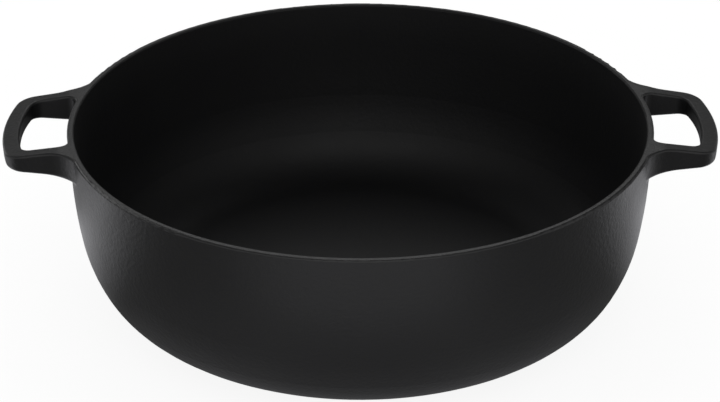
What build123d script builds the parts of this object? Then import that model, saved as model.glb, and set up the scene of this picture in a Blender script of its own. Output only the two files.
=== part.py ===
from build123d import *
from math import atan, cos, radians, sin, tan
import os

# Cast iron dutch oven without its lid: a wide round bowl with a loop handle on each side.
# The real thing is poured as one casting. Here it is divided where a pattern maker divides
# it, so the bowl and each handle are pieces of their own, which meet face to face on the low
# pads that stand on the bowl's side. Millimetres, +Z up, +X through the handles, origin at
# the centre of the underside.

# Bowl
mouth_radius = 150.0        # outside of the rim, at its top
bowl_height = 98.0          # underside to the top of the rim
wall = 3.6                  # thickness of the side
base_thickness = 4.6        # thickness of the flat floor
draft = 3.25                # degrees that the side leans in, to lift out of the mould
belly_radius = 240.0        # first bend below the straight part of the side
belly_end = 10.0            # degrees from upright where it ends
shoulder_radius = 75.0      # second, tighter bend
shoulder_end = 27.0         # degrees from upright where it ends
heel_radius = 40.0          # last bend, which runs into the flat base
rim_outer_round = 1.2       # runs on round the handles and their openings
rim_inner_round = 0.9

# Handles, seen from above
handle_reach = 33.3         # rim to the tip
handle_root_width = 73.4    # over both arms at the rim, without their flares
handle_tip_width = 70.9     # the same at the tip, before its corners are rounded
tip_bow_radius = 112.0
corner_round = 10.5         # outer corners
arm_width = 7.6             # each arm, beside the opening
grip_width = 9.0            # the bar that the fingers close on
opening_round = 6.0         # corners of the opening at the grip
flare_radius = 22.0         # bend by which an arm widens along the side of the bowl
flare_tuck = 0.8            # how far inside the rim that bend meets the bowl

# Handles, seen from the side
root_thickness = 14.2       # at the rim
tip_thickness = 6.7
droop = 8.0                 # degrees that the top falls towards the tip
droop_start = 0.3           # distance from the rim where the level top begins to fall
droop_bend = 20.0           # radius between the level and the falling top
under_round = 2.5           # outer edges below
opening_under_round = 1.5   # edges of the opening below
root_fillet = 5.0           # where a handle grows out of the side
pad_height = 0.6            # pad on the side that a handle stands on

# Working sizes
spare = 60.0                # how far a cutting solid reaches past what it cuts
level = 0.9                 # a face counts as level when its normal is at least this upright
buried = 20.0               # how far an opening's outline runs on inside the rim
handle_tip = mouth_radius + handle_reach
handle_zone = 2 * root_thickness    # depth below the rim that holds a handle and its fillets
side_slope = (handle_root_width - handle_tip_width) / 2 / handle_reach
tip_fall = droop_bend * (1 - cos(radians(droop))) + tan(radians(droop)) * (
    handle_reach - droop_start - droop_bend * sin(radians(droop))
)


def bowl_solid(top_radius, floor_height, inset):
    """Full solid of revolution down to a flat floor, its bends inset from the outer ones."""
    bends = [
        (belly_radius - inset, draft, belly_end),
        (shoulder_radius - inset, belly_end, shoulder_end),
        (heel_radius - inset, shoulder_end, 90.0),
    ]
    bent_depth = sum(r * (sin(radians(b)) - sin(radians(a))) for r, a, b in bends)
    straight = (bowl_height - floor_height - bent_depth) / cos(radians(draft))
    outline = [PolarLine((top_radius, bowl_height), straight, -90 - draft)]
    for radius, start, end in bends:
        outline.append(JernArc(outline[-1] @ 1, outline[-1] % 1, radius, start - end))
    outline.append(Polyline(outline[-1] @ 1, (0, floor_height), (0, bowl_height), outline[0] @ 0))
    return revolve(Plane.YZ * make_face(outline), Axis.Z)


def half_width(x):
    """From the middle of a handle to the outside of its arm."""
    return handle_root_width / 2 - side_slope * (x - mouth_radius)


def bow(inset):
    """Disc whose edge is the bowed tip, or the grip's inner side."""
    return Pos(handle_tip - tip_bow_radius, 0) * Circle(tip_bow_radius - inset)


def loop_plan():
    """Outside of a handle, whose arms flare into a disc that lies inside the bowl."""
    far = handle_tip + spare
    corners = [(0, half_width(0)), (far, half_width(far)), (far, -half_width(far)), (0, -half_width(0))]
    loop = make_face(Polyline(*corners, close=True)) & bow(0)
    loop = fillet(loop.vertices().group_by(Axis.X)[-1], corner_round)
    disc = Circle(mouth_radius - flare_tuck) & Pos(far / 2, 0) * Rectangle(far, 2 * far)
    plan = loop + disc
    return fillet(plan.vertices().filter_by_position(Axis.X, mouth_radius / 2, mouth_radius), flare_radius)


def opening_plan():
    """The finger opening, which runs on into the bowl so that the bowl's side closes it."""
    arm = arm_width / cos(atan(side_slope))
    near = mouth_radius - buried / 2
    far = handle_tip + spare
    corners = [(near, half_width(near) - arm), (far, half_width(far) - arm)]
    mirrored = [(x, -y) for x, y in reversed(corners)]
    plan = make_face(Polyline(*corners, *mirrored, close=True)) & bow(grip_width)
    return fillet(plan.vertices().group_by(Axis.X)[-1], opening_round)


def handle_blank():
    """A handle with a level top, before it is joined to the bowl."""
    at_rim = Pos(0, 0, bowl_height)
    depth = root_thickness + spare
    loop = extrude(at_rim * loop_plan(), -depth, taper=draft)
    loop -= extrude(at_rim * opening_plan(), -depth)
    root_under = bowl_height - root_thickness
    tip_under = bowl_height - tip_fall - tip_thickness
    rise = (tip_under - root_under) / handle_reach
    under = Polyline(
        (mouth_radius - spare, root_under - rise * spare),
        (handle_tip + spare, tip_under + rise * spare),
        (handle_tip + spare, bowl_height),
        (mouth_radius - spare, bowl_height),
        close=True,
    )
    loop &= extrude(Plane.XZ * make_face(under), spare, both=True)
    return loop


def underside(loop):
    """The flat face below a handle."""
    return loop.faces().filter_by(lambda face: face.normal_at().Z < -level).sort_by(SortBy.AREA)[-1]


def rounded_below(loop):
    """A handle blank with its lower edges rounded for the fingers."""
    loop = fillet(underside(loop).outer_wire().edges(), under_round)
    opening_edges = [edge for wire in underside(loop).inner_wires() for edge in wire.edges()]
    return fillet(opening_edges, opening_under_round)


def both_sides(piece):
    """The piece and its twin on the other side of the bowl."""
    return piece + mirror(piece, Plane.YZ)


def root_edges(joined):
    """The lines where the arms of the handles grow out of the bowl's side."""
    side = joined.faces().filter_by(GeomType.CONE).sort_by(SortBy.AREA)[-1]
    lowest = bowl_height - handle_zone
    highest = bowl_height - under_round
    return [
        edge
        for edge in side.edges()
        if abs(edge.center().X) > mouth_radius / 2 and lowest < edge.center().Z < highest
    ]


def above_droop():
    """What lies above the falling top of the handle on the +X side."""
    start = Vector(mouth_radius + droop_start, bowl_height)
    bend = JernArc(start, (1, 0), droop_bend, -droop)
    fall = PolarLine(bend @ 1, spare, direction=bend % 1)
    over = Polyline(fall @ 1, fall @ 1 + (0, spare), start + (0, spare), start)
    return extrude(Plane.XZ * make_face([bend, fall, over]), spare, both=True)


def top_borders(casting):
    """Border lines of the level rim taken together with the tops of the handles."""
    lowest = bowl_height - tip_fall - tip_thickness / 2
    tops = [face for face in casting.faces() if face.center().Z > lowest and face.normal_at().Z > level]
    edges = [edge for face in tops for edge in face.edges()]
    return [edge for edge in edges if sum(edge.is_same(other) for other in edges) == 1]


def on_inside_of_rim(edge):
    middle = edge @ 0.5
    return Vector(middle.X, middle.Y).length < mouth_radius - wall / 2


def whole_casting():
    """Bowl and handles in one, with every rounding in place."""
    casting = bowl_solid(mouth_radius, 0, 0) + both_sides(rounded_below(handle_blank()))
    casting = fillet(root_edges(casting), root_fillet)
    casting -= both_sides(above_droop())
    casting -= bowl_solid(mouth_radius - wall, base_thickness, wall)
    inside = [edge for edge in top_borders(casting) if on_inside_of_rim(edge)]
    casting = fillet(inside, rim_inner_round)
    outside = [edge for edge in top_borders(casting) if not on_inside_of_rim(edge)]
    return fillet(outside, rim_outer_round)


def outside_pads():
    """The space round the bowl that its handles fill, bounded by the faces of their pads."""
    slope = tan(radians(draft))
    top, bottom = bowl_height + spare, bowl_height - handle_zone
    pad_radius = mouth_radius + pad_height / cos(radians(draft))
    corners = [
        (pad_radius + slope * (top - bowl_height), top),
        (pad_radius + slope * (bottom - bowl_height), bottom),
        (handle_tip + spare, bottom),
        (handle_tip + spare, top),
    ]
    return revolve(Plane.YZ * make_face(Polyline(*corners, close=True)), Axis.Z)


casting = whole_casting()
handles = (casting & outside_pads()).solids().sort_by(Axis.X)
parts = {
    "bowl": casting - outside_pads(),
    "left_handle": handles[0],
    "right_handle": handles[-1],
}
os.makedirs("parts", exist_ok=True)
for name, shape in parts.items():
    export_step(shape, f"parts/{name}.step")
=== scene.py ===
from math import cos, radians, sin

import bpy
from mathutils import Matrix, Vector


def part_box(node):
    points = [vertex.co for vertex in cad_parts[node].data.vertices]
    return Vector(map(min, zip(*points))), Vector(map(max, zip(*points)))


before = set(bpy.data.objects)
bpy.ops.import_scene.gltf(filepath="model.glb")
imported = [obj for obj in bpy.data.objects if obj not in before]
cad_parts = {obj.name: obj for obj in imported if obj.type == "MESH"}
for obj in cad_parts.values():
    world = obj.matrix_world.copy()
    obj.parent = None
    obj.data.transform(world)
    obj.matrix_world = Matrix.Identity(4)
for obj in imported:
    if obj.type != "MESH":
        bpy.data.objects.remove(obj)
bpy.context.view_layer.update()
print("frame loaded:", sorted(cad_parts))

millimetre = 0.001
plainWhite = (1.0, 1.0, 1.0, 1.0)


def linearColour(hexText):
    # a shader wants linear values, a colour is written as sRGB hex
    channels = [int(hexText[i:i + 2], 16) / 255 for i in (1, 3, 5)]
    linear = [c / 12.92 if c <= 0.04045 else ((c + 0.055) / 1.055) ** 2.4 for c in channels]
    return (*linear, 1.0)


def addNode(tree, kind, settings=None, links=None):
    # settings and links name an input, or give its number, or name a property of the node
    node = tree.nodes.new(kind)
    for key, value in (settings or {}).items():
        if isinstance(key, int) or key in node.inputs:
            node.inputs[key].default_value = value
        else:
            setattr(node, key, value)
    for key, socket in (links or {}).items():
        tree.links.new(socket, node.inputs[key])
    return node


def newMaterial(name):
    material = bpy.data.materials.new(name)
    material.use_nodes = True
    material.node_tree.nodes.clear()
    return material, material.node_tree


def rimCentre():
    # the middle of the bowl's mouth
    low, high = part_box("bowl")
    return Vector(((low.x + high.x) / 2, (low.y + high.y) / 2, high.z))


# Cast iron under a thin matte black coat, the one material of the pot
castIron = {
    "colour": "#0A0A0B",
    "outerSpecular": 0.5,
    "innerSpecular": 0.27,
    "outerRoughness": 0.38,
    "innerRoughness": 0.52,     # the inside is duller
    "insideEdge": 0.5,          # how squarely a face looks to the middle of the rim to be inside
    "roughnessDrift": 0.04,     # slow change of the roughness over the surface
    "drift": 27.0,              # mm, its patches
    "grain": 2.1,               # mm, print of the moulding sand, drawn coarser so that it shows
    "outerGrain": 0.20,         # mm, its depth
    "innerGrain": 0.10,
    "waves": 9.0,               # mm, the uneven skin of the poured metal
    "waveHeight": 0.05,         # mm
    "noiseRoughness": 0.55,     # of all three patterns
    "driftDetail": 2.0,
    "grainDetail": 3.0,
    "waveDetail": 1.0,
}


def makeCastIron():
    # the sand print breaks up each highlight, so black iron looks like iron and not like plastic
    material, tree = newMaterial("mattBlackCastIron")
    place = addNode(tree, "ShaderNodeTexCoord").outputs["Object"]
    normal = addNode(tree, "ShaderNodeNewGeometry").outputs["Normal"]

    def noise(size, detail):
        return addNode(tree, "ShaderNodeTexNoise", {
            "Scale": 1 / (size * millimetre),
            "Detail": detail,
            "Roughness": castIron["noiseRoughness"],
        }, {"Vector": place}).outputs["Fac"]

    # the inside is what faces the middle of the rim
    towardsCentre = addNode(
        tree, "ShaderNodeVectorMath", {"operation": "SUBTRACT", 0: rimCentre()}, {1: place},
    )
    direction = addNode(
        tree, "ShaderNodeVectorMath", {"operation": "NORMALIZE"}, {0: towardsCentre.outputs[0]},
    )
    facing = addNode(
        tree, "ShaderNodeVectorMath", {"operation": "DOT_PRODUCT"},
        {0: direction.outputs[0], 1: normal},
    )
    inside = addNode(
        tree, "ShaderNodeMapRange", {"From Min": 0.0, "From Max": castIron["insideEdge"]},
        {"Value": facing.outputs["Value"]},
    )

    def outsideAndIn(what, unit=1.0):
        return addNode(tree, "ShaderNodeMapRange", {
            "To Min": castIron["outer" + what] * unit,
            "To Max": castIron["inner" + what] * unit,
        }, {"Value": inside.outputs[0]}).outputs[0]

    drift = addNode(tree, "ShaderNodeMapRange", {
        "To Min": -castIron["roughnessDrift"], "To Max": castIron["roughnessDrift"],
    }, {"Value": noise(castIron["drift"], castIron["driftDetail"])})
    roughness = addNode(
        tree, "ShaderNodeMath", {"operation": "ADD"},
        {0: outsideAndIn("Roughness"), 1: drift.outputs[0]},
    )
    waves = addNode(tree, "ShaderNodeBump", {
        "Distance": castIron["waveHeight"] * millimetre,
    }, {"Height": noise(castIron["waves"], castIron["waveDetail"])})
    grain = addNode(tree, "ShaderNodeBump", None, {
        "Distance": outsideAndIn("Grain", millimetre),
        "Height": noise(castIron["grain"], castIron["grainDetail"]),
        "Normal": waves.outputs["Normal"],
    })
    shader = addNode(tree, "ShaderNodeBsdfPrincipled", {
        "Base Color": linearColour(castIron["colour"]),
    }, {
        "Specular IOR Level": outsideAndIn("Specular"),
        "Roughness": roughness.outputs[0],
        "Normal": grain.outputs["Normal"],
    })
    addNode(tree, "ShaderNodeOutputMaterial", None, {"Surface": shader.outputs["BSDF"]})
    return material


iron = makeCastIron()
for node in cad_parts.values():
    node.data.materials.clear()
    node.data.materials.append(iron)
print("cast iron made")

# Studio. A glow is light that only reflections see in the floor, as steps of distance and
# strength, in metres from the middle of the pot: behind it, or to its side.
studio = {
    "floorSize": 6.0,           # m
    "floorColour": "#FAFAFA",
    "floorWhite": 0.9,          # share of plain white that the camera sees in the floor
    "floorDimming": 0.20,       # of the lit floor in reflections, as if dark screens stood about
    "glowColour": "#FAFAFF",    # a touch cool
    "frontGlow": (              # behind
        (-0.55, 0.0), (-0.45, 0.08), (-0.30, 0.65), (-0.20, 0.18), (-0.08, 0.18), (-0.02, 0.0),
    ),
    "frontGlowEnd": ((0.03, 1.0), (0.16, 0.0)),     # its share, to the side
    "sideGlow": ((0.01, 0.0), (0.105, 0.92), (0.12, 0.92), (0.15, 0.3)),    # behind
    "sideGlowStart": ((0.10, 0.0), (0.18, 1.0)),    # its share, to the side
    "glowSpread": 0.3,          # how far both lie aslant, so that they run out from the pot
    "glowSlant": -0.07,         # below zero the side glow reaches farther forward on the left
    "skyStrength": 0.8,
    "backSky": ((0.0, 0.35), (0.5, 0.03)),      # brightness in reflections, by sine of the height
    "frontSky": ((0.0, 0.8), (0.9, 0.2)),       # the same, added towards the front
    "frontSkyEnd": ((-0.4, 1.0), (0.5, 0.0)),   # its share, from the front round to the back
    "softboxes": {              # place and size in metres, power in watts
        "backSoftbox": {"place": (0, 1.2, 1.4), "size": (1.1, 1.0), "watts": 5.5},
        "topSoftbox": {"place": (0, -1.0, 1.5), "size": (1.4, 1.0), "watts": 4.5},
        "frontSoftbox": {"place": (0, -2.0, 0.7), "size": (0.8, 0.8), "watts": 1.0},
        "leftSoftbox": {"place": (-1.1, 1.0, 0.6), "size": (0.6, 1.0), "watts": 2.4},
        "rightSoftbox": {"place": (1.1, 1.0, 0.6), "size": (0.6, 1.0), "watts": 0.8},
    },
}


def mathNode(tree, operation, *values):
    # each value is a number or a socket
    numbers = {i: value for i, value in enumerate(values) if isinstance(value, (int, float))}
    sockets = {i: value for i, value in enumerate(values) if i not in numbers}
    return addNode(tree, "ShaderNodeMath", {"operation": operation, **numbers}, sockets).outputs[0]


def ramp(tree, value, steps):
    # straight lines between the steps, and level beyond them
    total = steps[0][1]
    for (start, low), (end, high) in zip(steps, steps[1:]):
        part = addNode(tree, "ShaderNodeMapRange", {
            "From Min": start, "From Max": end, "To Min": 0.0, "To Max": high - low,
        }, {"Value": value}).outputs[0]
        total = mathNode(tree, "ADD", total, part)
    return total


def rampProduct(tree, value, steps, otherValue, otherSteps):
    return mathNode(tree, "MULTIPLY", ramp(tree, value, steps), ramp(tree, otherValue, otherSteps))


def lookingRays(tree):
    # 1 for what the camera sees, and 1 for what is seen mirrored or through glass
    path = addNode(tree, "ShaderNodeLightPath").outputs
    mirrored = mathNode(tree, "MAXIMUM", path["Is Glossy Ray"], path["Is Transmission Ray"])
    return path["Is Camera Ray"], mirrored


def makeFloor():
    # pale paper, lifted towards white for the camera, which leaves a soft shadow under the pot
    half = studio["floorSize"] / 2
    corners = [(-half, -half, 0), (half, -half, 0), (half, half, 0), (-half, half, 0)]
    mesh = bpy.data.meshes.new("studioFloor")
    mesh.from_pydata(corners, [], [(0, 1, 2, 3)])
    floor = bpy.data.objects.new("studioFloor", mesh)
    bpy.context.scene.collection.objects.link(floor)
    material, tree = newMaterial("palePaper")
    direct, mirrored = lookingRays(tree)

    # what the camera sees
    paper = addNode(tree, "ShaderNodeBsdfDiffuse", {"Color": linearColour(studio["floorColour"])})
    white = addNode(tree, "ShaderNodeEmission", {"Color": plainWhite, "Strength": 1.0})
    plain = addNode(tree, "ShaderNodeMixShader", None, {
        0: mathNode(tree, "MULTIPLY", direct, studio["floorWhite"]),
        1: paper.outputs[0],
        2: white.outputs[0],
    })

    # what reflections see
    place = addNode(tree, "ShaderNodeTexCoord").outputs["Object"]
    axes = addNode(tree, "ShaderNodeSeparateXYZ", None, {0: place}).outputs
    behind = axes["Y"]
    aside = mathNode(tree, "ABSOLUTE", axes["X"])
    slanted = mathNode(tree, "MULTIPLY_ADD", axes["X"], studio["glowSlant"], behind)
    along = mathNode(tree, "MULTIPLY_ADD", aside, studio["glowSpread"], slanted)
    across = mathNode(tree, "MULTIPLY_ADD", behind, studio["glowSpread"], aside)
    sideGlow = rampProduct(tree, along, studio["sideGlow"], aside, studio["sideGlowStart"])
    frontGlow = rampProduct(tree, behind, studio["frontGlow"], across, studio["frontGlowEnd"])
    glow = addNode(tree, "ShaderNodeEmission", {
        "Color": linearColour(studio["glowColour"]),
    }, {"Strength": mathNode(tree, "ADD", sideGlow, frontGlow)})
    dimmed = addNode(
        tree, "ShaderNodeMixShader", {0: studio["floorDimming"]}, {2: plain.outputs[0]},
    )
    reflected = addNode(
        tree, "ShaderNodeAddShader", None, {0: dimmed.outputs[0], 1: glow.outputs[0]},
    )

    surface = addNode(tree, "ShaderNodeMixShader", None, {
        0: mirrored, 1: plain.outputs[0], 2: reflected.outputs[0],
    })
    addNode(tree, "ShaderNodeOutputMaterial", None, {"Surface": surface.outputs[0]})
    mesh.materials.append(material)


def makeWorld():
    # a white backdrop for the camera, and a pale horizon under a dark ceiling for reflections
    world = bpy.data.worlds.new("studioWorld")
    bpy.context.scene.world = world
    world.use_nodes = True
    tree = world.node_tree
    tree.nodes.clear()
    direct, mirrored = lookingRays(tree)
    direction = addNode(tree, "ShaderNodeTexCoord").outputs["Generated"]
    axes = addNode(tree, "ShaderNodeSeparateXYZ", None, {0: direction}).outputs
    frontSky = rampProduct(tree, axes["Y"], studio["frontSkyEnd"], axes["Z"], studio["frontSky"])
    fade = mathNode(tree, "ADD", frontSky, ramp(tree, axes["Z"], studio["backSky"]))
    sky = addNode(
        tree, "ShaderNodeBackground", {"Color": plainWhite, "Strength": studio["skyStrength"]},
    )
    backdrop = addNode(tree, "ShaderNodeBackground", {"Color": plainWhite}, {
        "Strength": mathNode(tree, "MAXIMUM", direct, fade),
    })
    seen = mathNode(tree, "MAXIMUM", direct, mirrored)
    surface = addNode(
        tree, "ShaderNodeMixShader", None, {0: seen, 1: sky.outputs[0], 2: backdrop.outputs[0]},
    )
    addNode(tree, "ShaderNodeOutputWorld", None, {"Surface": surface.outputs[0]})


def addSoftbox(name, place, size, watts):
    light = bpy.data.lights.new(name, "AREA")
    light.shape = "RECTANGLE"
    light.size, light.size_y = size
    light.energy = watts
    lamp = bpy.data.objects.new(name, light)
    lamp.location = place
    lamp.rotation_euler = (-Vector(place)).to_track_quat("-Z", "Y").to_euler()
    bpy.context.scene.collection.objects.link(lamp)


makeFloor()
makeWorld()
for name, softbox in studio["softboxes"].items():
    addSoftbox(name, **softbox)
print("studio made")

# Camera
view = {
    "pitch": 27.782,            # degrees below level
    "turn": -0.636,             # degrees about the bowl's axis
    "roll": -0.080,             # degrees
    "lens": 127.85,             # mm
    "sensor": 36.0,             # mm
    "aside": -0.271,            # mm from the middle of the rim, as the next two
    "back": 1179.88,
    "above": 573.97,
}


def addCamera():
    turn = radians(view["turn"])
    aside, back, above = (view[key] * millimetre for key in ("aside", "back", "above"))
    data = bpy.data.cameras.new("camera")
    data.lens = view["lens"]
    data.sensor_width = view["sensor"]
    camera = bpy.data.objects.new("camera", data)
    camera.location = rimCentre() + Vector((
        aside * cos(turn) + back * sin(turn), aside * sin(turn) - back * cos(turn), above,
    ))
    camera.rotation_euler = (radians(90 - view["pitch"]), 0.0, turn)
    camera.rotation_euler.rotate_axis("Z", radians(view["roll"]))
    bpy.context.scene.collection.objects.link(camera)
    bpy.context.scene.camera = camera


addCamera()
bpy.context.scene.view_settings.view_transform = "Standard"
print("camera placed")
